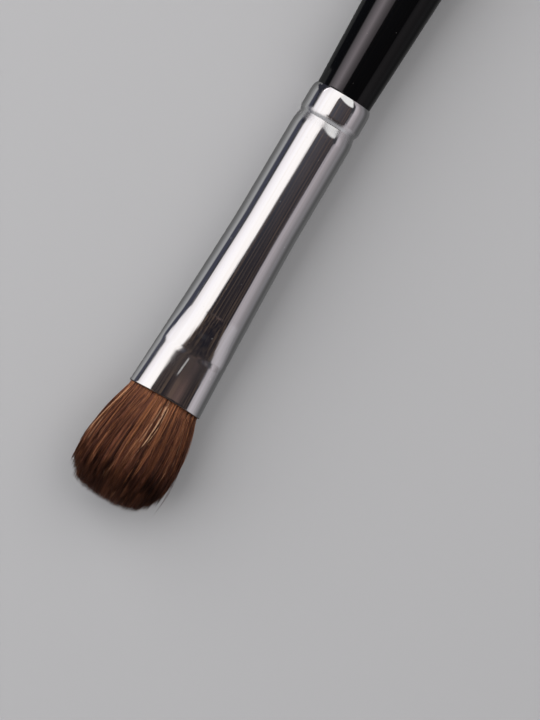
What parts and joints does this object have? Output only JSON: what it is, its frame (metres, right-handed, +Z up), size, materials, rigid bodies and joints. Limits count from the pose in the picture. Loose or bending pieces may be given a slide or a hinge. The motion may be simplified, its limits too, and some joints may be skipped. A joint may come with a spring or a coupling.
{
  "type": "eyeshadow brush",
  "caption": "Slim brush for blending powder on the eyelid: turned lacquered handle, crimped plated ferrule pressed to an oval mouth, and a domed tuft of soft brown hair.",
  "frame": {"origin": "under the middle of the brush, on the surface that it lies on", "axes": "+X along the brush from the tail of the handle to the tips of the hair, +Y across the broad face of the tuft, +Z up through its thin side"},
  "size_m": [0.1752, 0.0122, 0.0098],
  "materials": {
    "turned_wood": "turned and sanded, bare at the tenon",
    "black_lacquer": "dipped, high gloss",
    "tenon_glue": "dried film",
    "bright_plate": "polished plate with faint drawing lines",
    "clear_epoxy": "cast, amber",
    "binding_thread": "twisted cotton thread",
    "brown_hair": "soft hair, reddish brown at the roots and almost black at the tips"
  },
  "bodies": {
    "root": {"handle_core": "turned_wood", "handle_lacquer": "black_lacquer", "tenon_glue": "tenon_glue", "ferrule": "bright_plate", "epoxy_plug": "clear_epoxy", "root_binding": "binding_thread", "hair_tuft": "brown_hair"}
  },
  "joints": []
}
